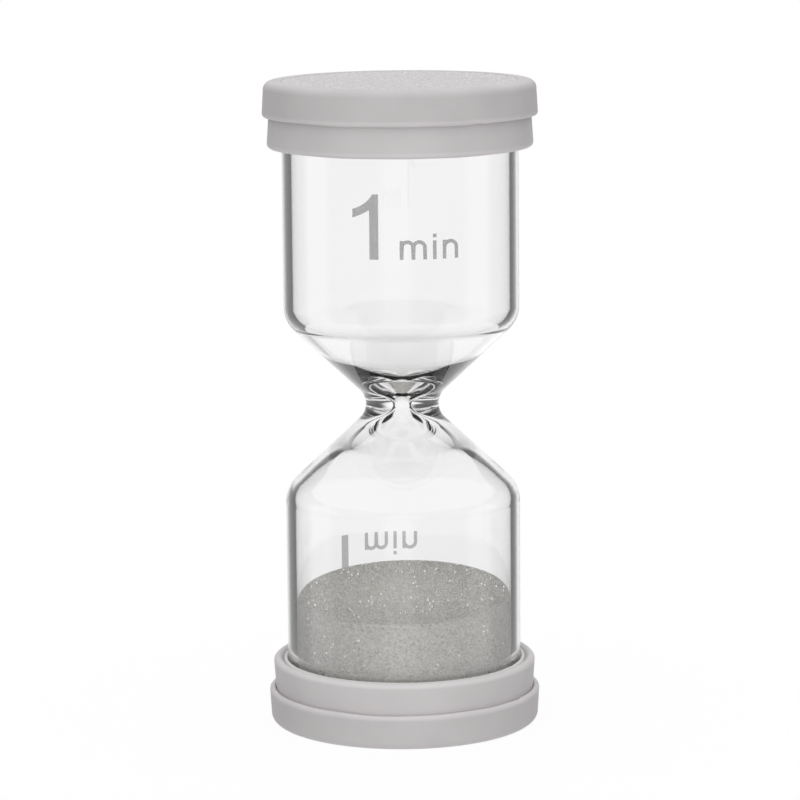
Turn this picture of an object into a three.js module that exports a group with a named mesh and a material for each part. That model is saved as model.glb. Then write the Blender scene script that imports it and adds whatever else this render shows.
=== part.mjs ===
// Free-standing one-minute sand timer.
// A waisted glass tube holds the sand. A soft stopper closes each end of the tube, and each end sits
// in a round cap made of two nested cups, with a grip pad let into the outer face.
// Millimetres, +Z up. The timer stands on the XY plane with its axis on Z.

import * as THREE from "three";

// Whole timer, and how finely its round surfaces are divided
const OVERALL_HEIGHT = 94.6;
const SECTORS = 48;
const ARC_SAG = 0.03;

// Fits
const FIT_CLEARANCE = 0.1;
const SAND_CLEARANCE = 0.15;

// Glass tube, outside
const GLASS_OUTER_RADIUS = 17.2;
const WAIST_OUTER_RADIUS = 5.35;
const WAIST_FILLET_RADIUS = 3.1;
const CONE_ANGLE = THREE.MathUtils.degToRad(46.7);
const SHOULDER_RADIUS = 4.5;

// Glass tube, inside: an even wall down to bowls that flatten towards the hole, so the neck is thick.
// The hole is narrowest a little above the waist, and opens more slowly into the lower bulb.
const GLASS_WALL = 1.35;
const BOWL_RADIUS = 30.0;
const ORIFICE_RADIUS = 0.9;
const ORIFICE_RISE = 0.4;
const UPPER_THROAT_RADIUS = 2.8;
const UPPER_BOWL_ANGLE = THREE.MathUtils.degToRad(64);
const LOWER_THROAT_RADIUS = 3.5;
const LOWER_THROAT_ANGLE = THREE.MathUtils.degToRad(45);
const LOWER_FLARE_RADIUS = 16.0;
const LOWER_BOWL_ANGLE = THREE.MathUtils.degToRad(57);

// Stack of floors under each end of the glass, from the end face inwards
const PAD_THICKNESS = 0.8;
const COVER_FLOOR = 1.2;
const CAP_FLOOR = 1.2;
const STOPPER_FLANGE = 1.0;
const PLUG_DEPTH = 3.0;
const PLUG_CHAMFER = 0.5;

// Inner cap, the cup that takes the glass, with a gasket between the two
const CAP_DEPTH = 6.5;
const CAP_RIM_WALL = 1.45;
const CAP_FOOT_RADIUS = 0.6;
const GASKET_WALL = 0.45;
const GASKET_SETBACK = 0.2;

// Cover, the cup pressed over the inner cap; both cups share one moulding draft
const MOULD_DRAFT = THREE.MathUtils.degToRad(3.5);
const COVER_DEPTH = 3.2;
const COVER_WALL = 0.88;
const COVER_LIP_RADIUS = 0.7;
const COVER_EDGE_RADIUS = 1.2;
const PAD_BORDER = 1.4;

// Sand: its depth on the axis, and how far its settled surface rises towards the wall on two sides
const SAND_DEPTH = 11.98;
const SAND_RISE_RIGHT = 0.24;
const SAND_RISE_BACK = 1.45;

// Sizes that follow from the ones above; axial distances run inwards from an end face
const glassInnerRadius = GLASS_OUTER_RADIUS - GLASS_WALL;
const gasketInnerRadius = GLASS_OUTER_RADIUS + FIT_CLEARANCE;
const gasketOuterRadius = gasketInnerRadius + GASKET_WALL;
const capBore = gasketOuterRadius + FIT_CLEARANCE;
const coverFloorFace = PAD_THICKNESS + COVER_FLOOR;
const capFloorFace = coverFloorFace + CAP_FLOOR;
const glassEnd = capFloorFace + STOPPER_FLANGE;
const plugEnd = glassEnd + PLUG_DEPTH;
const coverLip = coverFloorFace + COVER_DEPTH;
const capRim = capFloorFace + CAP_DEPTH;
const waistHeight = OVERALL_HEIGHT / 2;

// The inner cap is widest at its rim, and the cover's wall runs parallel to it
const capOuterRadius = (axial) => capBore + CAP_RIM_WALL - (capRim - axial) * Math.tan(MOULD_DRAFT);
const coverInnerRadius = (axial) => capOuterRadius(axial) + FIT_CLEARANCE;
const coverOuterRadius = (axial) => coverInnerRadius(axial) + COVER_WALL;
const coverFaceRadius = coverOuterRadius(COVER_EDGE_RADIUS) - COVER_EDGE_RADIUS;
const padRecessRadius = coverFaceRadius - PAD_BORDER;

const point = (radius, axial) => new THREE.Vector2(radius, axial);

// Points of an arc in the (radius, axial) plane, both ends included, no chord further off it than ARC_SAG
function arc(centre, radius, fromAngle, toAngle) {
  const widestStep = 2 * Math.acos(1 - ARC_SAG / radius);
  const steps = Math.ceil(Math.abs(toAngle - fromAngle) / widestStep);
  return Array.from({ length: steps + 1 }, (_, i) => {
    const angle = THREE.MathUtils.lerp(fromAngle, toAngle, i / steps);
    return point(centre.x + radius * Math.cos(angle), centre.y + radius * Math.sin(angle));
  });
}

// A solid of revolution about +Z from a closed (radius, axial) profile, with its faces pointing out
function turned(name, profile, finish) {
  const upwards = THREE.ShapeUtils.isClockWise(profile) ? [...profile].reverse() : profile;
  const geometry = new THREE.LatheGeometry(upwards, SECTORS);
  geometry.rotateX(Math.PI / 2);
  const mesh = new THREE.Mesh(geometry, new THREE.MeshStandardMaterial(finish));
  mesh.name = name;
  return mesh;
}

// Centre of an arc that touches two cones on their hollow side, each given by a point on it and its angle
function touchingCentre(radius, [first, firstAngle], [second, secondAngle]) {
  const offset = (p, angle) => radius + p.y * Math.sin(angle) - p.x * Math.cos(angle);
  const a = offset(first, firstAngle);
  const b = offset(second, secondAngle);
  const spread = Math.sin(firstAngle - secondAngle);
  return point(
    (a * Math.sin(secondAngle) - b * Math.sin(firstAngle)) / spread,
    (a * Math.cos(secondAngle) - b * Math.cos(firstAngle)) / spread,
  );
}

// Half of the glass's outer surface, from the waist to the straight wall, axial measured from the waist
function outerBulb() {
  const filletCentre = point(WAIST_OUTER_RADIUS + WAIST_FILLET_RADIUS, 0);
  const waist = arc(filletCentre, WAIST_FILLET_RADIUS, Math.PI, Math.PI - CONE_ANGLE);
  const coneStart = waist.at(-1);
  const shoulderCentre = point(GLASS_OUTER_RADIUS - SHOULDER_RADIUS, 0);
  const coneEndRadius = shoulderCentre.x + SHOULDER_RADIUS * Math.cos(CONE_ANGLE);
  const coneEndAxial = coneStart.y + (coneEndRadius - coneStart.x) / Math.tan(CONE_ANGLE);
  shoulderCentre.y = coneEndAxial + SHOULDER_RADIUS * Math.sin(CONE_ANGLE);
  return [...waist, ...arc(shoulderCentre, SHOULDER_RADIUS, -CONE_ANGLE, 0)];
}

// Throat above the hole's narrowest place, axial measured up from the waist
function upperNeck() {
  const centre = point(ORIFICE_RADIUS + UPPER_THROAT_RADIUS, ORIFICE_RISE);
  return arc(centre, UPPER_THROAT_RADIUS, Math.PI, Math.PI - UPPER_BOWL_ANGLE);
}

// Throat and flare below the hole's narrowest place, axial measured down from the waist
function lowerNeck() {
  const throatCentre = point(ORIFICE_RADIUS + LOWER_THROAT_RADIUS, -ORIFICE_RISE);
  const throat = arc(throatCentre, LOWER_THROAT_RADIUS, Math.PI, Math.PI - LOWER_THROAT_ANGLE);
  const start = throat.at(-1);
  const flareCentre = point(
    start.x + LOWER_FLARE_RADIUS * Math.cos(LOWER_THROAT_ANGLE),
    start.y - LOWER_FLARE_RADIUS * Math.sin(LOWER_THROAT_ANGLE),
  );
  const flareEnd = Math.PI - LOWER_BOWL_ANGLE;
  const flare = arc(flareCentre, LOWER_FLARE_RADIUS, Math.PI - LOWER_THROAT_ANGLE, flareEnd);
  return [...throat, ...flare.slice(1)];
}

// Half of the glass's inner surface: neck, bowl, and a shoulder that keeps the wall even
function innerBulb(shoulderAxial, neck, mouthAngle) {
  const shoulderCentre = point(GLASS_OUTER_RADIUS - SHOULDER_RADIUS, shoulderAxial);
  const shoulder = arc(shoulderCentre, SHOULDER_RADIUS - GLASS_WALL, -CONE_ANGLE, 0);
  const bowlCentre = touchingCentre(BOWL_RADIUS, [shoulder[0], CONE_ANGLE], [neck.at(-1), mouthAngle]);
  const bowl = arc(bowlCentre, BOWL_RADIUS, -mouthAngle, -CONE_ANGLE);
  return [...neck, ...bowl, ...shoulder];
}

// One-piece tube, open at both ends, which are fire-polished round
function glassBody() {
  const outerHalf = outerBulb();
  const shoulderAxial = outerHalf.at(-1).y;
  const lipRadius = GLASS_WALL / 2;
  const lipCentre = point(glassInnerRadius + lipRadius, waistHeight - glassEnd - lipRadius);
  const outside = [...outerHalf, ...arc(lipCentre, lipRadius, 0, Math.PI)];
  const upperInside = innerBulb(shoulderAxial, upperNeck(), UPPER_BOWL_ANGLE);
  const lowerInside = innerBulb(shoulderAxial, lowerNeck(), LOWER_BOWL_ANGLE);
  const upperHalf = [...outside, ...upperInside.reverse()];
  const lowerHalf = [...outside, ...lowerInside.reverse()].map((p) => point(p.x, -p.y)).reverse();
  const ring = [...upperHalf, ...lowerHalf.slice(1)];
  const profile = ring.map((p) => point(p.x, waistHeight + p.y));
  return turned("glass_body", profile, {
    color: 0xeef0ef, roughness: 0.05, metalness: 0, transparent: true, opacity: 0.35,
  });
}

// The sand lies on the lower stopper, with its surface a little aslant
function sandFill() {
  const radius = glassInnerRadius - SAND_CLEARANCE;
  const floor = plugEnd + SAND_CLEARANCE;
  const level = plugEnd + SAND_DEPTH;
  const profile = [point(0, floor), point(radius, floor), point(radius, level), point(0, level)];
  const sand = turned("sand_fill", profile, { color: 0xb3b1ab, roughness: 0.9, metalness: 0 });
  const vertices = sand.geometry.attributes.position;
  for (let i = 0; i < vertices.count; i += 1) {
    const isSurface = vertices.getZ(i) > (floor + level) / 2;
    const rise = (SAND_RISE_RIGHT * vertices.getX(i) + SAND_RISE_BACK * vertices.getY(i)) / radius;
    vertices.setZ(i, vertices.getZ(i) + (isSurface ? rise : 0));
  }
  return sand;
}

// The pieces of one end, as profiles measured inwards from the end face
function gripPadProfile() {
  const radius = padRecessRadius - FIT_CLEARANCE;
  return [point(0, 0), point(radius, 0), point(radius, PAD_THICKNESS), point(0, PAD_THICKNESS)];
}

function coverProfile() {
  const edgeCentre = point(coverFaceRadius, COVER_EDGE_RADIUS);
  const lipAxial = coverLip - COVER_LIP_RADIUS;
  const lipCentre = point(coverOuterRadius(lipAxial) - COVER_LIP_RADIUS, lipAxial);
  return [
    point(0, PAD_THICKNESS),
    point(padRecessRadius, PAD_THICKNESS),
    point(padRecessRadius, 0),
    ...arc(edgeCentre, COVER_EDGE_RADIUS, -Math.PI / 2, 0),
    ...arc(lipCentre, COVER_LIP_RADIUS, 0, Math.PI / 2),
    point(coverInnerRadius(coverLip), coverLip),
    point(coverInnerRadius(coverFloorFace), coverFloorFace),
    point(0, coverFloorFace),
  ];
}

function innerCapProfile() {
  const footAxial = coverFloorFace + CAP_FOOT_RADIUS;
  const footCentre = point(capOuterRadius(footAxial) - CAP_FOOT_RADIUS, footAxial);
  const rimRadius = CAP_RIM_WALL / 2;
  const rimCentre = point(capBore + rimRadius, capRim - rimRadius);
  return [
    point(0, coverFloorFace),
    ...arc(footCentre, CAP_FOOT_RADIUS, -Math.PI / 2, 0),
    ...arc(rimCentre, rimRadius, 0, Math.PI),
    point(capBore, capFloorFace),
    point(0, capFloorFace),
  ];
}

function gasketProfile() {
  const beadRadius = GASKET_WALL / 2;
  const beadCentre = point(gasketInnerRadius + beadRadius, capRim - GASKET_SETBACK - beadRadius);
  return [
    point(gasketInnerRadius, capFloorFace),
    point(gasketOuterRadius, capFloorFace),
    ...arc(beadCentre, beadRadius, 0, Math.PI),
    point(gasketInnerRadius, capFloorFace),
  ];
}

function stopperProfile() {
  const plugRadius = glassInnerRadius - FIT_CLEARANCE;
  return [
    point(0, capFloorFace),
    point(GLASS_OUTER_RADIUS, capFloorFace),
    point(GLASS_OUTER_RADIUS, glassEnd),
    point(plugRadius, glassEnd),
    point(plugRadius, plugEnd - PLUG_CHAMFER),
    point(plugRadius - PLUG_CHAMFER, plugEnd),
    point(0, plugEnd),
  ];
}

const END_PIECES = {
  grip_pad: { profile: gripPadProfile(), finish: { color: 0xcfcccb, roughness: 0.9, metalness: 0 } },
  cover: { profile: coverProfile(), finish: { color: 0xc4c0c0, roughness: 0.6, metalness: 0 } },
  inner_cap: { profile: innerCapProfile(), finish: { color: 0xc9c5c5, roughness: 0.6, metalness: 0 } },
  gasket: { profile: gasketProfile(), finish: { color: 0xd6d3d1, roughness: 0.7, metalness: 0 } },
  stopper: { profile: stopperProfile(), finish: { color: 0xdedbd8, roughness: 0.7, metalness: 0 } },
};

// Both ends are alike: the upper one is the lower one mirrored across the waist
const HEIGHT_AT_END = {
  lower: (axial) => axial,
  upper: (axial) => OVERALL_HEIGHT - axial,
};

const timer = new THREE.Group();
timer.add(glassBody(), sandFill());
for (const [end, height] of Object.entries(HEIGHT_AT_END)) {
  for (const [piece, { profile, finish }] of Object.entries(END_PIECES)) {
    const placed = profile.map((p) => point(p.x, height(p.y)));
    timer.add(turned(`${end}_${piece}`, placed, finish));
  }
}

export default timer;
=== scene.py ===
import math

import bmesh
import bpy
import numpy as np
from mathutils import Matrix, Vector, noise


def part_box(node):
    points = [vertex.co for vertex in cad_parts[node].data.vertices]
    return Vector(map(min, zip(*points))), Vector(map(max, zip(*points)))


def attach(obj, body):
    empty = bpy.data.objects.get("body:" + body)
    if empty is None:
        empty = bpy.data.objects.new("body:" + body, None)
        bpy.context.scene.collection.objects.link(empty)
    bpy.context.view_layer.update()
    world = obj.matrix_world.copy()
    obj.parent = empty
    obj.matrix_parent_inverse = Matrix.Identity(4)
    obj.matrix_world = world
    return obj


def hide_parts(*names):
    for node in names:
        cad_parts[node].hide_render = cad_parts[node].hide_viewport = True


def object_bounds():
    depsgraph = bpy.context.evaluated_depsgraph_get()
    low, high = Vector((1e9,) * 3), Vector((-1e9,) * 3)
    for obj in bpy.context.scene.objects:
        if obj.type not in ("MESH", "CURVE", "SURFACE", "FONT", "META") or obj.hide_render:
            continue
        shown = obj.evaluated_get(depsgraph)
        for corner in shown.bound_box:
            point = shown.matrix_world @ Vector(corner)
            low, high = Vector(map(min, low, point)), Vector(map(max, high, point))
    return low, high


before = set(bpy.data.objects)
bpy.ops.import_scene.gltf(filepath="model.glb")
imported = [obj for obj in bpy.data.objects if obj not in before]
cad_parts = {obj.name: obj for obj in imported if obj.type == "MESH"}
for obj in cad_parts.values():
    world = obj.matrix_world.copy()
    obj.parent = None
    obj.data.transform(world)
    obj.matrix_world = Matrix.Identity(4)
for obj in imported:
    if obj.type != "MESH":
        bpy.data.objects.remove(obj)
cad_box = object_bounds()

MM = 0.001


def extent(node):
    """Outer radius, lowest level and highest level of a CAD node, in millimetres."""
    low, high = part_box(node)
    return high.x / MM, low.z / MM, high.z / MM


# Sizes from the frame, in millimetres; the lower end stands for both ends
HEIGHT = cad_box[1].z / MM
WAIST = HEIGHT / 2
GLASS_RADIUS, GLASS_FOOT, GLASS_TOP = extent("glass_body")
PAD_RADIUS, PAD_FACE, PAD_SEAT = extent("lower_grip_pad")
COVER_RADIUS, COVER_FACE, COVER_LIP = extent("lower_cover")
CAP_RADIUS, CAP_FOOT, CAP_RIM = extent("lower_inner_cap")
GASKET_RADIUS, CAP_FLOOR, GASKET_TOP = extent("lower_gasket")
STOPPER_RADIUS, STOPPER_FOOT, PLUG_END = extent("lower_stopper")
_, SAND_FLOOR, SAND_TOP = extent("sand_fill")

# How finely shapes are divided
SECTORS = 256
GRAIN_SECTORS = 512
GRAIN_STEP = 0.2
SAND_EDGE_STEPS = 4
ARC_SAG = 0.0008
LONGEST_STEP = 1.0
CURVE_STEPS = 8
MARK_STEP = 0.4
FLOOR_SECTORS = 128
FLOOR_RINGS = 11
SHARP_EDGE = math.radians(38.0)

# Fits
FIT_CLEARANCE = 0.1
SNUG_GAP = 0.02

# Glass, outside and inside
WAIST_RADIUS = 5.35
WAIST_FILLET = 3.1
CONE_ANGLE = math.radians(46.7)
SHOULDER = 4.5
GLASS_WALL = 1.35
ORIFICE = 0.9
ORIFICE_RISE = 0.4
BOWL = 30.0
UPPER_THROAT = 2.8
UPPER_ANGLE = math.radians(64.0)
LOWER_THROAT = 3.5
LOWER_THROAT_ANGLE = math.radians(45.0)
LOWER_FLARE = 16.0
LOWER_ANGLE = math.radians(57.0)
BORE = GLASS_RADIUS - GLASS_WALL

# Caps
MOULD_DRAFT = math.radians(3.5)
COVER_WALL = 0.88
COVER_EDGE = 1.2
COVER_LIP_ROUND = 0.55
COVER_LIP_INNER_ROUND = 0.3
CAP_BORE = GASKET_RADIUS + FIT_CLEARANCE
CAP_RIM_ROUND = (CAP_RADIUS - CAP_BORE) / 2
CAP_FOOT_ROUND = 0.6
PLUG_CHAMFER = 0.5
PAD_GRAIN = 0.19
PAD_GRAIN_DEPTH = 0.05
PAD_EDGE = 0.06

# Trimmed lips: each wave's share of the depth, number round the timer and share of the phase
LIP_WAVES = [(0.5, 3, 1.0), (0.3, 7, 2.1), (0.2, 13, 0.0)]
COVER_LIP_WAVE = 0.10
CAP_RIM_WAVE = 0.05
LOWER_WAVE_PHASE = 0.4
UPPER_WAVE_PHASE = 2.9
LOWER_NICK = math.radians(330.0)
UPPER_NICK = math.radians(305.6)
LIP_NICK_DEPTH = 0.16
LIP_NICK_WIDTH = math.radians(14.0)

# Sand; a grain's round top reaches over a share of its size
SAND_RISE_RIGHT = 0.24
SAND_RISE_BACK = 1.45
SAND_LEVEL = SAND_TOP - math.hypot(SAND_RISE_RIGHT, SAND_RISE_BACK)
SAND_DISH = 0.4
SAND_EDGE = 0.35
SAND_GAP = 0.04
SAND_GRAIN = 0.24
SAND_GRAIN_DEPTH = 0.13
SAND_PRESSED_DEPTH = 0.03
SAND_DRIFT = 0.12
SAND_DRIFT_SIZE = 5.0
GRAIN_TOP_SHARE = 0.7

# Loose grains and bright crystals
LOOSE_GRAINS = 6000
LOOSE_GRAIN_SIZES = (0.08, 0.15)
GRAIN_SEED = 3
CRYSTALS_ON_TOP = 130
CRYSTALS_AT_WALL = 110
CRYSTAL_SIZES = (0.10, 0.19)
CRYSTAL_SIDES = 6
CRYSTAL_TAPER = 0.4
CRYSTAL_LEAN = 0.1
CRYSTAL_SEED = 7

# Duration mark: its figure, its letters, and where it sits on the glass
FIGURE_HEIGHT = 9.25
FIGURE_STEM = 1.3
FIGURE_FLAG = 3.8
FLAG_TOP = 0.77 * FIGURE_HEIGHT
FLAG_FOOT = 0.64 * FIGURE_HEIGHT
FLAG_ROOT = 0.76 * FIGURE_HEIGHT
FLAG_START = 0.65 * FIGURE_STEM
FLAG_UPPER_BEND = (-1.25 * FIGURE_STEM, 0.84 * FIGURE_HEIGHT)
FLAG_LOWER_BEND = (-1.9 * FIGURE_STEM, 0.68 * FIGURE_HEIGHT)
LETTER_HEIGHT = 2.75
LETTER_STROKE = 0.53
STEM_HEIGHT = 0.97 * LETTER_HEIGHT
DOT_LEVEL = 1.12 * LETTER_HEIGHT
M_LEFT, M_PITCH = 3.0, 1.67
I_LEFT = 7.75
N_LEFT, N_PITCH = 9.2, 1.85
MARK_LEFT = -3.2
MARK_LIFT = 0.004
MARK_THICKNESS = 0.02
UPPER_MARK_LEVEL = 23.3
LOWER_MARK_LEVEL = -22.5
FRONT = -math.pi / 2
BACK = math.pi / 2
LOWER_MARK_TURN = math.radians(20.5)


# Profiles and meshes
def arc(centre, radius, start, end):
    """Points of an arc in the (radius, level) plane, both ends included."""
    widest_step = 2 * math.acos(1 - ARC_SAG / radius)
    steps = math.ceil(abs(end - start) / widest_step)
    angles = np.linspace(start, end, steps + 1)
    return [(centre[0] + radius * math.cos(a), centre[1] + radius * math.sin(a)) for a in angles]


def divided(profile, is_loop):
    """The profile with its long straight stretches cut into short ones."""
    ends = profile[1:] + (profile[:1] if is_loop else [])
    points = []
    for start, end in zip(profile, ends):
        pieces = math.ceil(math.dist(start, end) / LONGEST_STEP) or 1
        for i in range(pieces):
            share = i / pieces
            points.append(tuple(a + share * (b - a) for a, b in zip(start, end)))
    return points if is_loop else points + profile[-1:]


def new_object(name, mesh):
    """A smooth-shaded piece with its real edges kept sharp."""
    mesh.shade_smooth()
    mesh.set_sharp_from_angle(angle=SHARP_EDGE)
    piece = bpy.data.objects.new(name, mesh)
    bpy.context.scene.collection.objects.link(piece)
    return piece


def skin(name, rings, is_loop=False):
    """A mesh over rings of points given in millimetres; a ring of one point is a pole."""
    starts = np.cumsum([0] + [len(ring) for ring in rings])
    pairs = list(zip(range(len(rings)), range(1, len(rings))))
    if is_loop:
        pairs.append((len(rings) - 1, 0))
    faces = []
    for a, b in pairs:
        count = max(len(rings[a]), len(rings[b]))
        for i in range(count):
            j = (i + 1) % count
            corners = [
                starts[a] + i % len(rings[a]),
                starts[a] + j % len(rings[a]),
                starts[b] + j % len(rings[b]),
                starts[b] + i % len(rings[b]),
            ]
            faces.append(tuple(int(c) for c in dict.fromkeys(corners)))
    mesh = bpy.data.meshes.new(name)
    mesh.from_pydata((np.concatenate(rings) * MM).tolist(), [], faces)
    shell = bmesh.new()
    shell.from_mesh(mesh)
    bmesh.ops.recalc_face_normals(shell, faces=shell.faces)
    shell.to_mesh(mesh)
    shell.free()
    return new_object(name, mesh)


def all_round(sectors):
    """Angles of that many sectors round the timer."""
    return np.linspace(0, 2 * math.pi, sectors, endpoint=False)


def ring(radius, level, angles):
    """Points of one ring; radius and level are numbers or arrays that follow the angles."""
    ones = np.ones(len(angles))
    return np.column_stack([radius * np.cos(angles), radius * np.sin(angles), level * ones])


def pole(level):
    """The ring of one point on the axis."""
    return np.array([[0.0, 0.0, level]])


def turned(name, profile, is_loop=False, warp=None):
    """A surface of revolution; warp(radius, level, angles) moves its points off the true circle."""
    angles = all_round(SECTORS)
    rings = []
    for radius, level in divided(profile, is_loop):
        if radius < FIT_CLEARANCE:
            rings.append(pole(level))
        elif warp:
            rings.append(ring(*warp(radius, level, angles), angles))
        else:
            rings.append(ring(radius, level, angles))
    return skin(name, rings, is_loop)


def grains(points, size):
    """Height from 0 to 1 of rounded grains of that size at each point."""
    heights = np.empty(len(points))
    for i, point in enumerate(points / size):
        nearest = noise.voronoi(Vector(point))[0][0]
        heights[i] = 1 - min(nearest / GRAIN_TOP_SHARE, 1.0) ** 2
    return heights


# Glass
def touching_centre(radius, first, first_angle, second, second_angle):
    """Centre of an arc that touches two cones on their hollow side, each a point and its angle."""
    a = radius + first[1] * math.sin(first_angle) - first[0] * math.cos(first_angle)
    b = radius + second[1] * math.sin(second_angle) - second[0] * math.cos(second_angle)
    spread = math.sin(first_angle - second_angle)
    return (
        (a * math.sin(second_angle) - b * math.sin(first_angle)) / spread,
        (a * math.cos(second_angle) - b * math.cos(first_angle)) / spread,
    )


def glass_outside():
    """The outside above the waist, and the centre of its shoulder."""
    fillet = arc((WAIST_RADIUS + WAIST_FILLET, 0), WAIST_FILLET, math.pi, math.pi - CONE_ANGLE)
    cone_radius, cone_level = fillet[-1]
    shoulder_radius = GLASS_RADIUS - SHOULDER
    cone_reach = shoulder_radius + SHOULDER * math.cos(CONE_ANGLE) - cone_radius
    shoulder_level = cone_level + cone_reach / math.tan(CONE_ANGLE) + SHOULDER * math.sin(CONE_ANGLE)
    lip = GLASS_WALL / 2
    end = arc((GLASS_RADIUS - lip, GLASS_TOP - WAIST - lip), lip, 0, math.pi)
    shoulder_centre = (shoulder_radius, shoulder_level)
    return fillet + arc(shoulder_centre, SHOULDER, -CONE_ANGLE, 0) + end, shoulder_centre


def bulb_inside(shoulder_centre, neck, mouth_angle):
    """A bulb's inside above its neck: an even wall round the shoulder, then a bowl."""
    shoulder = arc(shoulder_centre, SHOULDER - GLASS_WALL, 0, -CONE_ANGLE)
    bowl_centre = touching_centre(BOWL, shoulder[-1], CONE_ANGLE, neck[0], mouth_angle)
    return shoulder + arc(bowl_centre, BOWL, -CONE_ANGLE, -mouth_angle) + neck


def upper_neck():
    """The round throat above the hole."""
    throat_centre = (ORIFICE + UPPER_THROAT, ORIFICE_RISE)
    return arc(throat_centre, UPPER_THROAT, math.pi - UPPER_ANGLE, math.pi)


def lower_neck():
    """The throat below the hole, with levels counted downwards: a short round and a slow flare."""
    throat_centre = (ORIFICE + LOWER_THROAT, -ORIFICE_RISE)
    throat = arc(throat_centre, LOWER_THROAT, math.pi - LOWER_THROAT_ANGLE, math.pi)
    flare_centre = (
        throat[0][0] + LOWER_FLARE * math.cos(LOWER_THROAT_ANGLE),
        throat[0][1] - LOWER_FLARE * math.sin(LOWER_THROAT_ANGLE),
    )
    flare = arc(flare_centre, LOWER_FLARE, math.pi - LOWER_ANGLE, math.pi - LOWER_THROAT_ANGLE)
    return flare + throat


def glass_profile():
    """The tube's closed section: up its outside from the waist, down its inside, and back."""
    outside, shoulder_centre = glass_outside()
    upper_half = outside + bulb_inside(shoulder_centre, upper_neck(), UPPER_ANGLE)
    lower_half = outside + bulb_inside(shoulder_centre, lower_neck(), LOWER_ANGLE)
    mirrored = [(radius, -level) for radius, level in reversed(lower_half[1:-1])]
    return [(radius, WAIST + level) for radius, level in upper_half + mirrored]


# Sand
def sand_surface(share, angles):
    """Level of the sand at shares of its radius: a dish a little aslant."""
    slope = SAND_RISE_RIGHT * np.cos(angles) + SAND_RISE_BACK * np.sin(angles)
    return SAND_LEVEL + share * slope - SAND_DISH * (1 - share**2)


def sand_drift(points):
    """Slow unevenness of the loose sand."""
    return np.array([SAND_DRIFT * noise.noise(Vector(p) / SAND_DRIFT_SIZE) for p in points])


def sand_heap():
    """The settled sand, with its grains pressed flat against the glass."""
    radius = BORE - SAND_GAP
    angles = all_round(GRAIN_SECTORS)
    edge_radius = radius - SAND_EDGE
    edge_foot = sand_surface(edge_radius / radius, angles) - SAND_EDGE
    side_steps = math.ceil((SAND_LEVEL - SAND_FLOOR) / GRAIN_STEP)
    top_steps = math.ceil(edge_radius / GRAIN_STEP)
    sides = [
        ring(radius, SAND_FLOOR + share * (edge_foot - SAND_FLOOR), angles)
        for share in np.linspace(0, 1, side_steps + 1)
    ]
    edge = [
        ring(edge_radius + SAND_EDGE * math.cos(a), edge_foot + SAND_EDGE * math.sin(a), angles)
        for a in np.linspace(0, math.pi / 2, SAND_EDGE_STEPS + 1)[1:]
    ]
    top = [
        ring(edge_radius * share, sand_surface(edge_radius / radius * share, angles), angles)
        for share in np.linspace(1, 0, top_steps + 1)[1:-1]
    ]
    rings = [pole(SAND_FLOOR), *sides, *edge, *top, pole(SAND_LEVEL - SAND_DISH)]
    for points in rings[2:]:
        hollows = 1 - grains(points, SAND_GRAIN)
        reach = np.hypot(points[:, 0], points[:, 1])
        wall_share = np.clip((reach - edge_radius) / SAND_EDGE, 0, 1)
        pressed = wall_share * SAND_PRESSED_DEPTH * hollows
        points[:, :2] *= (1 - pressed / np.maximum(reach, GRAIN_STEP))[:, None]
        points[:, 2] += (1 - wall_share) * (sand_drift(points) - SAND_GRAIN_DEPTH * hollows)
    return skin("sand_heap", rings)


def strewn_over_sand(count, chance):
    """Places at random over the loose surface of the sand."""
    radius = BORE - SAND_GAP
    angles = chance.uniform(0, 2 * math.pi, count)
    reach = (radius - 2 * SAND_EDGE) * np.sqrt(chance.uniform(0, 1, count))
    places = ring(reach, sand_surface(reach / radius, angles), angles)
    places[:, 2] += sand_drift(places)
    return places


def copies(name, solid, centres, sizes, axes):
    """One mesh of many copies of a small solid, each with its own size and direction."""
    corners, faces = solid
    vertices = [
        centre + size * corners @ np.array(Vector(axis).to_track_quat("Z", "Y").to_matrix()).T
        for centre, size, axis in zip(centres, sizes, axes)
    ]
    shifts = np.arange(len(centres)) * len(corners)
    all_faces = [tuple(int(i + shift) for i in face) for shift in shifts for face in faces]
    mesh = bpy.data.meshes.new(name)
    mesh.from_pydata((np.concatenate(vertices) * MM).tolist(), [], all_faces)
    return new_object(name, mesh)


def small_solid(operation, **settings):
    """Corners and faces of a small solid that one mesh operation builds."""
    solid = bmesh.new()
    operation(solid, **settings)
    solid.verts.index_update()
    corners = np.array([vert.co for vert in solid.verts])
    faces = [[vert.index for vert in face.verts] for face in solid.faces]
    solid.free()
    return corners, faces


def loose_grains():
    """Round grains that lie on the settled surface."""
    chance = np.random.default_rng(GRAIN_SEED)
    grain = small_solid(bmesh.ops.create_icosphere, subdivisions=1, radius=1.0)
    centres = strewn_over_sand(LOOSE_GRAINS, chance)
    sizes = chance.uniform(*LOOSE_GRAIN_SIZES, LOOSE_GRAINS)
    return copies("loose_grains", grain, centres, sizes, chance.normal(size=(LOOSE_GRAINS, 3)))


def crystal(taper):
    """A short crystal of unit size that narrows to the taper."""
    sides = {"segments": CRYSTAL_SIDES, "radius1": 1.0, "radius2": taper, "depth": 2.0}
    return small_solid(bmesh.ops.create_cone, cap_ends=True, **sides)


def top_crystals():
    """Bright crystals that stand among the loose grains."""
    chance = np.random.default_rng(CRYSTAL_SEED)
    centres = strewn_over_sand(CRYSTALS_ON_TOP, chance)
    sizes = chance.uniform(*CRYSTAL_SIZES, CRYSTALS_ON_TOP)
    centres[:, 2] += sizes
    leans = chance.normal(scale=CRYSTAL_LEAN, size=(CRYSTALS_ON_TOP, 3))
    return copies("top_crystals", crystal(CRYSTAL_TAPER), centres, sizes, leans + (0, 0, 1))


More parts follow.
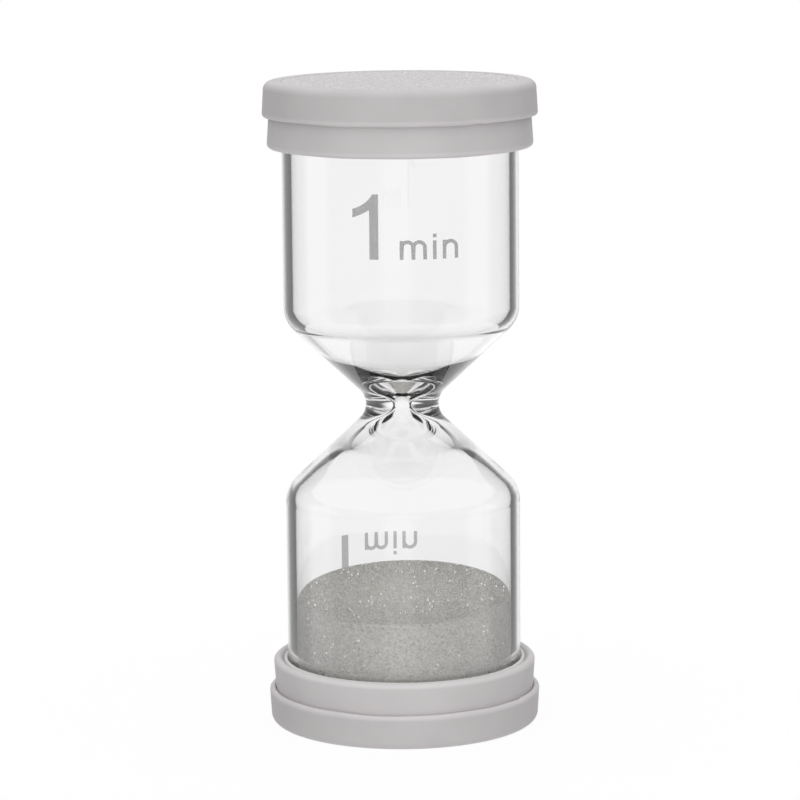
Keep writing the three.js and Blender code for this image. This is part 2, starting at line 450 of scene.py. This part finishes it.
def wall_crystals():
    """Bright crystals that lie flat against the glass."""
    chance = np.random.default_rng(CRYSTAL_SEED)
    angles = chance.uniform(0, 2 * math.pi, CRYSTALS_AT_WALL)
    levels = chance.uniform(SAND_FLOOR + SAND_EDGE, sand_surface(1.0, angles) - 2 * SAND_EDGE)
    sizes = chance.uniform(*CRYSTAL_SIZES, CRYSTALS_AT_WALL)
    centres = ring(BORE - SAND_GAP / 2 - sizes, levels, angles)
    return copies("wall_crystals", crystal(1.0), centres, sizes, centres * (1, 1, 0))


# End pieces, as profiles measured inwards from the end face
def cap_radius(axial):
    """Outside of the inner cap, which widens towards its rim."""
    return CAP_RADIUS - (CAP_RIM - axial) * math.tan(MOULD_DRAFT)


def cover_inside(axial):
    """Inside of the cover, which follows the inner cap."""
    return cap_radius(axial) + FIT_CLEARANCE


def cover_profile():
    """The cover's shallow cup, with a recess for the grip pad."""
    recess = PAD_RADIUS + SNUG_GAP
    edge_centre = (cover_inside(COVER_EDGE) + COVER_WALL - COVER_EDGE, COVER_EDGE)
    lip_centre = (COVER_RADIUS - COVER_LIP_ROUND, COVER_LIP - COVER_LIP_ROUND)
    inner_level = COVER_LIP - COVER_LIP_INNER_ROUND
    inner_centre = (cover_inside(inner_level) + COVER_LIP_INNER_ROUND, inner_level)
    return [
        (0, PAD_SEAT),
        (recess, PAD_SEAT),
        (recess, COVER_FACE),
        *arc(edge_centre, COVER_EDGE, -math.pi / 2, 0),
        *arc(lip_centre, COVER_LIP_ROUND, 0, math.pi / 2),
        *arc(inner_centre, COVER_LIP_INNER_ROUND, math.pi / 2, math.pi),
        (cover_inside(CAP_FOOT), CAP_FOOT),
        (0, CAP_FOOT),
    ]


def inner_cap_profile():
    """The inner cap's cup, with a round rim."""
    foot_level = CAP_FOOT + CAP_FOOT_ROUND
    foot_centre = (cap_radius(foot_level) - CAP_FOOT_ROUND, foot_level)
    rim_centre = (CAP_BORE + CAP_RIM_ROUND, CAP_RIM - CAP_RIM_ROUND)
    return [
        (0, CAP_FOOT),
        *arc(foot_centre, CAP_FOOT_ROUND, -math.pi / 2, 0),
        *arc(rim_centre, CAP_RIM_ROUND, 0, math.pi),
        (CAP_BORE, CAP_FLOOR),
        (0, CAP_FLOOR),
    ]


def gasket_profile():
    """The sleeve between glass and inner cap, with a round bead on top."""
    inside = GLASS_RADIUS + SNUG_GAP
    outside = CAP_BORE - SNUG_GAP
    bead = (outside - inside) / 2
    bead_centre = (inside + bead, GASKET_TOP - bead)
    return [(inside, CAP_FLOOR), (outside, CAP_FLOOR), *arc(bead_centre, bead, 0, math.pi)]


def stopper_profile():
    """The flange under the glass and the plug inside it."""
    plug_radius = BORE - FIT_CLEARANCE
    return [
        (0, STOPPER_FOOT),
        (STOPPER_RADIUS, STOPPER_FOOT),
        (STOPPER_RADIUS, GLASS_FOOT),
        (plug_radius, GLASS_FOOT),
        (plug_radius, PLUG_END - PLUG_CHAMFER),
        (plug_radius - PLUG_CHAMFER, PLUG_END),
        (0, PLUG_END),
    ]


def wave(angles, phase):
    """A slow uneven wave from about -1 to 1 round the timer."""
    return sum(share * np.sin(count * angles + turn * phase) for share, count, turn in LIP_WAVES)


def wavy(free_end, seat, depth, phase, nick=None):
    """A warp with waves that grow from a cup's seat to its free end, and perhaps a nick."""

    def warp(radius, level, angles):
        share = min(max((level - seat) / (free_end - seat), 0), 1) ** 2
        cut = depth * (1 + wave(angles, phase))
        if nick is not None:
            into_nick = np.clip((nick - angles) / LIP_NICK_WIDTH, 0, 1)
            cut = cut + LIP_NICK_DEPTH * np.where(into_nick > 0, (1 - into_nick) ** 2, 0)
        return radius, level - share * cut

    return warp


def grip_pad(name, height):
    """A disc with a grainy outer face that lies no higher than the cap's face."""
    angles = all_round(GRAIN_SECTORS)
    face_radius = PAD_RADIUS - PAD_EDGE
    steps = math.ceil(face_radius / GRAIN_STEP)
    shares = np.linspace(1, 0, steps + 1)[:-1]
    face = [ring(face_radius * share, PAD_FACE, angles) for share in shares]
    for points in face:
        points[:, 2] += PAD_GRAIN_DEPTH * (1 - grains(points, PAD_GRAIN))
    wall = [ring(PAD_RADIUS, level, angles) for level in (PAD_SEAT, PAD_FACE + PAD_EDGE)]
    rings = [pole(PAD_SEAT), *wall, *face, pole(PAD_FACE + PAD_GRAIN_DEPTH / 2)]
    for points in rings:
        points[:, 2] = height(points[:, 2])
    return skin(name, rings)


def end_pieces(end, height, phase, nick):
    """One end's pieces by part; height turns a level from the end face into one from the floor."""

    def turned_end(part, profile, is_loop=False, warp=None):
        def placed_warp(radius, level, angles):
            warped_radius, axial = warp(radius, height(level), angles)
            return warped_radius, height(axial)

        placed = [(radius, height(axial)) for radius, axial in profile]
        return turned(f"{end}_{part}", placed, is_loop, placed_warp if warp else None)

    trimmed_lip = wavy(COVER_LIP, CAP_FLOOR, COVER_LIP_WAVE, phase, nick)
    trimmed_rim = wavy(CAP_RIM, COVER_LIP, CAP_RIM_WAVE, phase)
    return {
        "grip_pad": grip_pad(f"{end}_grip_disc", height),
        "cover": turned_end("outer_cup", cover_profile(), warp=trimmed_lip),
        "inner_cap": turned_end("inner_cup", inner_cap_profile(), warp=trimmed_rim),
        "gasket": turned_end("seal_ring", gasket_profile(), is_loop=True),
        "stopper": turned_end("end_plug", stopper_profile()),
    }


# Duration mark: outlines in millimetres along and up the glass, from the figure's right foot
def bend(start, control, end):
    """Points of a quadratic curve, both ends included."""
    start, control, end = np.array(start), np.array(control), np.array(end)
    shares = np.linspace(0, 1, CURVE_STEPS + 1)[:, None]
    curve = (1 - shares) ** 2 * start + 2 * shares * (1 - shares) * control + shares**2 * end
    return [tuple(p) for p in curve]


def figure_one():
    """The figure 1, with a flag that bends down to the left."""
    upper = bend((-FLAG_START, FIGURE_HEIGHT), FLAG_UPPER_BEND, (-FIGURE_FLAG, FLAG_TOP))
    lower = bend((-FIGURE_FLAG, FLAG_FOOT), FLAG_LOWER_BEND, (-FIGURE_STEM, FLAG_ROOT))
    return [(0, 0), (0, FIGURE_HEIGHT), *upper, *lower, (-FIGURE_STEM, 0)]


def arched_letter(left, pitch, arches):
    """A small letter of stems joined by round arches: one arch is an n, two are an m."""
    outer = (pitch + LETTER_STROKE) / 2
    inner = outer - LETTER_STROKE
    spring = LETTER_HEIGHT - outer
    centres = [left + outer + i * pitch for i in range(arches)]
    outline = [(left, 0), (left + LETTER_STROKE, 0)]
    for centre in centres:
        outline += arc((centre, spring), inner, math.pi, 0)
        outline += [(centre + inner, 0), (centre + outer, 0)]
    for centre in reversed(centres):
        start = 0 if centre == centres[-1] else math.acos(pitch / 2 / outer)
        reach = outer - LETTER_STROKE if centre == centres[0] else pitch / 2
        outline += arc((centre, spring), outer, start, math.pi - math.acos(reach / outer))
    return outline + [(left + LETTER_STROKE, STEM_HEIGHT), (left, STEM_HEIGHT)]


def block(left, foot, height):
    """An upright stroke."""
    right, top = left + LETTER_STROKE, foot + height
    return [(left, foot), (right, foot), (right, top), (left, top)]


def mark_outlines():
    """The figure 1 and the letters of min."""
    return [
        figure_one(),
        arched_letter(M_LEFT, M_PITCH, 2),
        block(I_LEFT, 0, STEM_HEIGHT),
        block(I_LEFT, DOT_LEVEL, LETTER_STROKE),
        arched_letter(N_LEFT, N_PITCH, 1),
    ]


def from_lowest(face):
    """The face's corners from the lowest number on, so that its order is the same in each run."""
    start = face.index(min(face))
    return face[start:] + face[:start]


def duration_mark(name, azimuth, waist_offset, is_turned_over):
    """A thin print wrapped round the glass, upright or turned over."""
    print_layer = bmesh.new()
    for outline in mark_outlines():
        corners = [print_layer.verts.new((u, 0, v)) for u, v in outline]
        print_layer.faces.new(corners)
    bmesh.ops.triangulate(print_layer, faces=print_layer.faces)
    reach = [vert.co.x for vert in print_layer.verts]
    for cut in np.arange(min(reach), max(reach), MARK_STEP):
        geometry = [*print_layer.verts, *print_layer.edges, *print_layer.faces]
        bmesh.ops.bisect_plane(print_layer, geom=geometry, plane_co=(cut, 0, 0), plane_no=(1, 0, 0))
    extruded = bmesh.ops.extrude_face_region(print_layer, geom=list(print_layer.faces))["geom"]
    for vert in extruded:
        if isinstance(vert, bmesh.types.BMVert):
            vert.co.y = MARK_THICKNESS
    sense = -1 if is_turned_over else 1
    for vert in print_layer.verts:
        angle = azimuth + sense * (vert.co.x + MARK_LEFT) / GLASS_RADIUS
        radius = GLASS_RADIUS + MARK_LIFT + vert.co.y
        level = WAIST + waist_offset + sense * vert.co.z
        vert.co = Vector((radius * math.cos(angle), radius * math.sin(angle), level)) * MM
    bmesh.ops.recalc_face_normals(print_layer, faces=print_layer.faces)
    corners = sorted(print_layer.verts, key=lambda vert: tuple(vert.co))
    number = {vert: i for i, vert in enumerate(corners)}
    faces = [from_lowest([number[vert] for vert in face.verts]) for face in print_layer.faces]
    mesh = bpy.data.meshes.new(name)
    mesh.from_pydata([tuple(vert.co) for vert in corners], [], sorted(faces))
    print_layer.free()
    return new_object(name, mesh)


# Colours, as (low, high) pairs where clouds carry them from one to the other
COVER_COLOUR = (0.60, 0.577, 0.582)
CAP_COLOUR = (0.655, 0.631, 0.636)
GASKET_COLOUR = (0.80, 0.79, 0.78)
STOPPER_COLOUR = (0.78, 0.77, 0.76)
GLASS_COLOURS = ((0.988, 0.986, 0.987), (0.997, 0.995, 0.996))
QUARTZ_COLOURS = ((0.66, 0.66, 0.65), (0.88, 0.88, 0.87))
INK_COLOURS = ((0.27, 0.26, 0.262), (0.33, 0.32, 0.322))
FLOOR_COLOURS = ((0.93, 0.93, 0.93), (0.95, 0.95, 0.95))
SAND_STOPS = [
    (0.0, (0.64, 0.626, 0.593)),
    (0.12, (0.82, 0.805, 0.768)),
    (0.65, (0.885, 0.87, 0.833)),
    (0.76, (1.0, 0.985, 0.955)),
    (1.0, (1.0, 0.985, 0.955)),
]
PAD_STOPS = [
    (0.0, (0.50, 0.485, 0.487)),
    (0.5, (0.62, 0.60, 0.602)),
    (0.9, (0.70, 0.68, 0.682)),
    (1.0, (0.92, 0.91, 0.91)),
]

# Surfaces: noise scales per metre, tints, roughness ranges, bump strengths and depths in millimetres
NOISE_BAND = (0.3, 0.7)
PLASTIC_SPECULAR = 0.25
PLASTIC_CLOUDS = 160.0
PLASTIC_TINTS = (0.97, 1.03)
PLASTIC_SKIN = 7000.0
PLASTIC_ROUGHNESS = (0.55, 0.68)
PLASTIC_BUMP = (0.25, 0.02)
# Painted highlight on the lips and rims: where it lies, measured from the lip, and how much paler it
# draws the colour
LIP_HIGHLIGHT_ZONE = (1.0, 0.5)
COVER_LIP_HIGHLIGHT = 1.14
CAP_RIM_HIGHLIGHT = 1.12
GRAIN_ROUGHNESS = 0.6
GRAIN_SLOPE = 0.8
GRAIN_BUMP_SHARE = 0.3
SAND_BUMP = 0.2
PAD_BUMP = 0.6
SAND_SHADE_SIZE = 0.24
# Painted shade on the sand: how dark its middle is drawn, and the radii in millimetres over which it
# darkens
SAND_PAINTED_SHADE = 0.94
PAINTED_SHADE_ZONE = (15.5, 8.0)
GLASS_IOR = 1.5
GLASS_WAVES = 60.0
GLASS_BUMP = (0.05, 0.05)
QUARTZ_ROUGHNESS = 0.12
QUARTZ_CLOUDS = 900.0
RUBBER_IOR = 1.42
RUBBER_CLOUDS = 400.0
RUBBER_TINTS = (0.95, 1.04)
RUBBER_ROUGHNESS = (0.42, 0.6)
RUBBER_BUMP = (0.2, 0.05)
INK_ROUGHNESS = 0.6
INK_MOTTLE = 2600.0
INK_BUMP = (0.15, 0.01)
UPPER_INK_COVER = 0.46
LOWER_INK_COVER = 0.34
FLOOR_ROUGHNESS = 0.9
FLOOR_SPECKLE = 900.0


# Materials
def add(tree, kind, inputs=None, **settings):
    """Adds a shader node; an input takes a value, a socket, or a node's first output."""
    node = tree.nodes.new("ShaderNode" + kind)
    for key, value in settings.items():
        setattr(node, key, value)
    for key, value in (inputs or {}).items():
        if isinstance(value, bpy.types.Node):
            value = value.outputs[0]
        if isinstance(value, bpy.types.NodeSocket):
            tree.links.new(value, node.inputs[key])
        else:
            node.inputs[key].default_value = value
    return node


def ramp(tree, factor, stops):
    """A colour ramp over the factor; stops are (position, colour)."""
    node = add(tree, "ValToRGB", {"Fac": factor})
    elements = node.color_ramp.elements
    while len(elements) < len(stops):
        elements.new(1.0)
    for element, (position, colour) in zip(elements, stops):
        element.position = position
        element.color = (*colour, 1.0)
    return node


def fade(tree, value, from_range, to_range):
    """The value carried smoothly from one range to another."""
    inputs = {
        "Value": value,
        "From Min": from_range[0],
        "From Max": from_range[1],
        "To Min": to_range[0],
        "To Max": to_range[1],
    }
    return add(tree, "MapRange", inputs, interpolation_type="SMOOTHSTEP")


def new_material(name, **constants):
    """A material, its tree, shader and coordinates; constants go on the shader's sockets."""
    material = bpy.data.materials.new(name)
    material.use_nodes = True
    tree = material.node_tree
    shader = tree.nodes["Principled BSDF"]
    for socket, value in constants.items():
        shader.inputs[socket.replace("_", " ")].default_value = value
    coordinates = add(tree, "TexCoord").outputs["Object"]
    return material, tree, shader, coordinates


def noise_at(tree, where, scale, detail):
    """Noise of that scale over the surface."""
    return add(tree, "TexNoise", {"Vector": where, "Scale": scale, "Detail": detail})


def clouded(tree, clouds, colours):
    """A colour that the clouds carry from the first to the second."""
    return ramp(tree, clouds, list(zip(NOISE_BAND, colours)))


def tinted(colour, tints):
    """The colour at each of the tints."""
    return [tuple(min(channel * tint, 1.0) for channel in colour) for tint in tints]


def link(tree, node, shader, socket):
    """Joins a node's first output to the shader."""
    tree.links.new(node.outputs[0], shader.inputs[socket])


def set_bump(tree, shader, height, strength, depth):
    """Bump of that depth in millimetres."""
    bump = add(tree, "Bump", {"Height": height, "Strength": strength, "Distance": depth * MM})
    tree.links.new(bump.outputs["Normal"], shader.inputs["Normal"])


def moulded_plastic(name, colour, lip, lip_highlight):
    """Matte plastic: faint clouds in the colour, a painted highlight that makes the lip or rim
    paler, and a fine eroded skin.
    """
    material, tree, shader, where = new_material(name, Specular_IOR_Level=PLASTIC_SPECULAR)
    clouds = noise_at(tree, where, PLASTIC_CLOUDS, 3.0)
    colours = clouded(tree, clouds, tinted(colour, PLASTIC_TINTS))
    level = add(tree, "SeparateXYZ", {"Vector": where}).outputs["Z"]
    # Painted highlight: the colour is drawn paler towards the lip or rim, where light catches it
    above_waist = add(tree, "Math", {0: level, 1: WAIST * MM}, operation="SUBTRACT")
    from_waist = add(tree, "Math", {0: above_waist}, operation="ABSOLUTE")
    highlight_zone = [(WAIST - lip + reach) * MM for reach in LIP_HIGHLIGHT_ZONE]
    pale = fade(tree, from_waist, highlight_zone, (1.0, lip_highlight))
    shaded = add(tree, "VectorMath", {0: colours, "Scale": pale}, operation="SCALE")
    link(tree, shaded, shader, "Base Color")
    skin_grain = noise_at(tree, where, PLASTIC_SKIN, 2.0)
    link(tree, fade(tree, skin_grain, NOISE_BAND, PLASTIC_ROUGHNESS), shader, "Roughness")
    set_bump(tree, shader, skin_grain, *PLASTIC_BUMP)
    return material


def granular(name, grain, stops, bump, painted_middle_shade=1.0):
    """Packed grains with a tone and a round top each; painted shade can make them darker towards the
    middle.
    """
    material, tree, shader, where = new_material(name, Roughness=GRAIN_ROUGHNESS)
    cells = add(tree, "TexVoronoi", {"Vector": where, "Scale": 1 / (grain * MM)})
    shade = add(tree, "SeparateColor", {"Color": cells.outputs["Color"]})
    # Painted shade: the colour is drawn darker towards the middle, away from the glass wall
    across = add(tree, "VectorMath", {0: where, 1: (1.0, 1.0, 0.0)}, operation="MULTIPLY")
    reach = add(tree, "VectorMath", {0: across}, operation="LENGTH").outputs["Value"]
    middle = fade(tree, reach, [r * MM for r in PAINTED_SHADE_ZONE], (1.0, painted_middle_shade))
    colours = ramp(tree, shade, stops)
    shaded = add(tree, "VectorMath", {0: colours, "Scale": middle}, operation="SCALE")
    link(tree, shaded, shader, "Base Color")
    height = fade(tree, cells.outputs["Distance"], (0.0, GRAIN_SLOPE), (1.0, 0.0))
    set_bump(tree, shader, height, bump, GRAIN_BUMP_SHARE * grain)
    return material


def clear_glass():
    """Drawn glass tube with a slight waviness."""
    constants = {"Transmission_Weight": 1.0, "IOR": GLASS_IOR, "Roughness": 0.0}
    material, tree, shader, where = new_material("clear_glass", **constants)
    waves = noise_at(tree, where, GLASS_WAVES, 1.0)
    link(tree, clouded(tree, waves, GLASS_COLOURS), shader, "Base Color")
    set_bump(tree, shader, waves, *GLASS_BUMP)
    return material


def bright_quartz():
    """Flat bright faces of crystals."""
    constants = {"Metallic": 1.0, "Roughness": QUARTZ_ROUGHNESS}
    material, tree, shader, where = new_material("bright_quartz", **constants)
    clouds = noise_at(tree, where, QUARTZ_CLOUDS, 2.0)
    link(tree, clouded(tree, clouds, QUARTZ_COLOURS), shader, "Base Color")
    return material


def soft_rubber(name, colour):
    """Soft pale rubber with a faintly uneven surface."""
    material, tree, shader, where = new_material(name, IOR=RUBBER_IOR)
    clouds = noise_at(tree, where, RUBBER_CLOUDS, 4.0)
    link(tree, clouded(tree, clouds, tinted(colour, RUBBER_TINTS)), shader, "Base Color")
    link(tree, fade(tree, clouds, NOISE_BAND, RUBBER_ROUGHNESS), shader, "Roughness")
    set_bump(tree, shader, clouds, *RUBBER_BUMP)
    return material


def printed_ink(name, cover):
    """Pale grey screen print, a little uneven in its colour."""
    material, tree, shader, where = new_material(name, Roughness=INK_ROUGHNESS, Alpha=cover)
    mottle = noise_at(tree, where, INK_MOTTLE, 3.0)
    link(tree, clouded(tree, mottle, INK_COLOURS), shader, "Base Color")
    set_bump(tree, shader, mottle, *INK_BUMP)
    return material


# Pieces
def place(piece, body, material, node=None):
    """Finishes a piece, seats it on its body and puts it in place of its CAD node."""
    piece.data.materials.append(material)
    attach(piece, body)
    if node:
        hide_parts(node)


glass = clear_glass()
sand = granular("fine_sand", SAND_SHADE_SIZE, SAND_STOPS, SAND_BUMP, SAND_PAINTED_SHADE)
quartz = bright_quartz()
upper_ink = printed_ink("upper_ink", UPPER_INK_COVER)
lower_ink = printed_ink("lower_ink", LOWER_INK_COVER)
end_materials = {
    "grip_pad": granular("grainy_rubber", PAD_GRAIN, PAD_STOPS, PAD_BUMP),
    "cover": moulded_plastic("cover_plastic", COVER_COLOUR, COVER_LIP, COVER_LIP_HIGHLIGHT),
    "inner_cap": moulded_plastic("cap_plastic", CAP_COLOUR, CAP_RIM, CAP_RIM_HIGHLIGHT),
    "gasket": soft_rubber("gasket_rubber", GASKET_COLOUR),
    "stopper": soft_rubber("stopper_rubber", STOPPER_COLOUR),
}

place(turned("glass_tube", glass_profile(), is_loop=True), "timer", glass, "glass_body")
place(sand_heap(), "sand", sand, "sand_fill")
place(loose_grains(), "sand", sand)
place(top_crystals(), "sand", quartz)
place(wall_crystals(), "sand", quartz)

ends = {
    "lower": (lambda axial: axial, LOWER_WAVE_PHASE, LOWER_NICK),
    "upper": (lambda axial: HEIGHT - axial, UPPER_WAVE_PHASE, UPPER_NICK),
}
for end, traits in ends.items():
    for part, piece in end_pieces(end, *traits).items():
        place(piece, "timer", end_materials[part], f"{end}_{part}")

upper_mark = duration_mark("upper_mark", FRONT, UPPER_MARK_LEVEL, False)
lower_mark = duration_mark("lower_mark", BACK + LOWER_MARK_TURN, LOWER_MARK_LEVEL, True)
place(upper_mark, "timer", upper_ink)
place(lower_mark, "timer", lower_ink)


# Floor: a disc just under the timer
FLOOR_RADIUS = 105.0
FLOOR_FADE = 30.0
FLOOR_GAP = 0.02
FLOOR_COVER = 0.05


def floor():
    """A pale round floor that fades out to the white around it."""
    angles = all_round(FLOOR_SECTORS)
    radii = np.linspace(FLOOR_RADIUS, 0, FLOOR_RINGS + 1)[:-1]
    rings = [ring(radius, -FLOOR_GAP, angles) for radius in radii]
    disc = skin("floor", [*rings, pole(-FLOOR_GAP)])
    material, tree, shader, where = new_material("pale_floor", Roughness=FLOOR_ROUGHNESS)
    speckle = noise_at(tree, where, FLOOR_SPECKLE, 2.0)
    link(tree, clouded(tree, speckle, FLOOR_COLOURS), shader, "Base Color")
    reach = add(tree, "VectorMath", {0: where}, operation="LENGTH").outputs["Value"]
    faded = fade(tree, reach, (FLOOR_FADE * MM, FLOOR_RADIUS * MM), (FLOOR_COVER, 0.0))
    link(tree, faded, shader, "Alpha")
    disc.data.materials.append(material)


# Light on matte surfaces, by where it comes from
DOME_BASE = 0.02
DOME_FRONT = 1.0
DOME_BACK = 0.50
DOME_ABOVE = 1.6
DOME_BELOW = 1.0

# Light in reflections, and between which heights it changes
REFLECTED_LIGHT = 0.9
REFLECTED_BELOW = 1.45
REFLECTED_CHANGE = (-0.45, -0.2)

# Light through the glass, and the open gap between the dark flags, each by height
THROUGH_LIGHT = [
    (-0.60, 0.72),
    (-0.46, 0.75),
    (-0.38, 0.81),
    (-0.34, 0.87),
    (-0.29, 0.87),
    (-0.20, 0.94),
]
FLAG_GAPS = [
    (-0.52, 1.0),
    (-0.48, 0.34),
    (-0.40, 0.30),
    (-0.36, 0.26),
    (-0.06, 0.26),
    (0.02, 0.38),
    (0.10, 0.34),
    (0.20, 0.27),
    (0.34, 0.05),
    (0.42, 0.05),
    (0.55, 1.0),
]
FLAG_LIGHT = 0.06
FLAG_TURN = math.radians(5.0)
FLAG_SOFTNESS = 0.1
BACKDROP_LIGHT = 1.0

# Limits between whole counts of a ray's matte bounces and of the surfaces it has passed
BEFORE_MATTE_BOUNCE = 0.5
WITHIN_ONE_WALL = 2.5


def studio_world():
    """A soft studio: white backdrop, more light from front, back and above, dark flags aside."""
    world = bpy.data.worlds.new("studio")
    world.use_nodes = True
    tree = world.node_tree

    def calculate(operation, *values):
        return add(tree, "Math", dict(enumerate(values)), operation=operation)

    def mix(share, first, second):
        return add(tree, "Mix", {0: share, 2: first, 3: second})

    view = add(tree, "TexCoord").outputs["Generated"]
    direction = add(tree, "SeparateXYZ", {"Vector": view})
    depth, height = direction.outputs["Y"], direction.outputs["Z"]
    ramp_place = calculate("MULTIPLY_ADD", height, 0.5, 0.5)

    def over_height(stops):
        return ramp(tree, ramp_place, [(0.5 + 0.5 * sine, (value,) * 3) for sine, value in stops])

    is_behind = calculate("GREATER_THAN", depth, 0.0)
    is_above = calculate("GREATER_THAN", height, 0.0)
    horizontal = mix(is_behind, DOME_FRONT, DOME_BACK)
    vertical = mix(is_above, DOME_BELOW, DOME_ABOVE)
    dome = calculate("MULTIPLY_ADD", calculate("MULTIPLY", depth, depth), horizontal, DOME_BASE)
    dome = calculate("MULTIPLY_ADD", calculate("MULTIPLY", height, height), vertical, dome)

    path = add(tree, "LightPath").outputs
    is_direct = calculate("LESS_THAN", path["Diffuse Depth"], BEFORE_MATTE_BOUNCE)
    is_edge = calculate("LESS_THAN", path["Transmission Depth"], WITHIN_ONE_WALL)
    turn = calculate("MULTIPLY_ADD", is_above, -FLAG_TURN, FLAG_TURN)
    flag_view = add(tree, "VectorRotate", {"Vector": view, "Angle": turn}, rotation_type="Z_AXIS")
    sideways = add(tree, "SeparateXYZ", {"Vector": flag_view})
    aside = calculate("MINIMUM", *(calculate("ABSOLUTE", sideways.outputs[axis]) for axis in "XY"))
    into_flag = calculate("SUBTRACT", aside, over_height(FLAG_GAPS))
    straight = over_height(THROUGH_LIGHT)
    edge = fade(tree, into_flag, (-FLAG_SOFTNESS, FLAG_SOFTNESS), (straight, FLAG_LIGHT))
    through = mix(is_edge, straight, edge)
    reflected = fade(tree, height, REFLECTED_CHANGE, (REFLECTED_BELOW, REFLECTED_LIGHT))
    light = mix(calculate("MULTIPLY", is_direct, path["Is Glossy Ray"]), dome, reflected)
    light = mix(calculate("MULTIPLY", is_direct, path["Is Transmission Ray"]), light, through)
    light = mix(path["Is Camera Ray"], light, BACKDROP_LIGHT)
    background = tree.nodes["Background"]
    background.inputs["Color"].default_value = (1.0, 1.0, 1.0, 1.0)
    tree.links.new(light.outputs[0], background.inputs["Strength"])
    bpy.context.scene.world = world


# Camera: where it aims, from how far, and how it is turned
CAMERA_LENS = 162.0
CAMERA_SENSOR = 36.0
CAMERA_DISTANCE = 527.55
CAMERA_PITCH = math.radians(9.502)
CAMERA_ROLL = math.radians(-0.5)
AIM_RIGHT = -0.33
AIM_ABOVE_WAIST = 0.425


def camera():
    """The camera at the photograph's angle."""
    data = bpy.data.cameras.new("camera")
    data.lens = CAMERA_LENS
    data.sensor_width = CAMERA_SENSOR
    eye = bpy.data.objects.new("camera", data)
    back = Vector((0, -math.cos(CAMERA_PITCH), math.sin(CAMERA_PITCH)))
    aim = Vector((AIM_RIGHT, 0, WAIST + AIM_ABOVE_WAIST))
    eye.location = (aim + CAMERA_DISTANCE * back) * MM
    eye.rotation_euler = (-back).to_track_quat("-Z", "Y").to_euler()
    eye.rotation_euler.rotate_axis("Z", CAMERA_ROLL)
    bpy.context.scene.collection.objects.link(eye)
    bpy.context.scene.camera = eye


floor()
studio_world()
camera()
bpy.context.scene.view_settings.view_transform = "Standard"
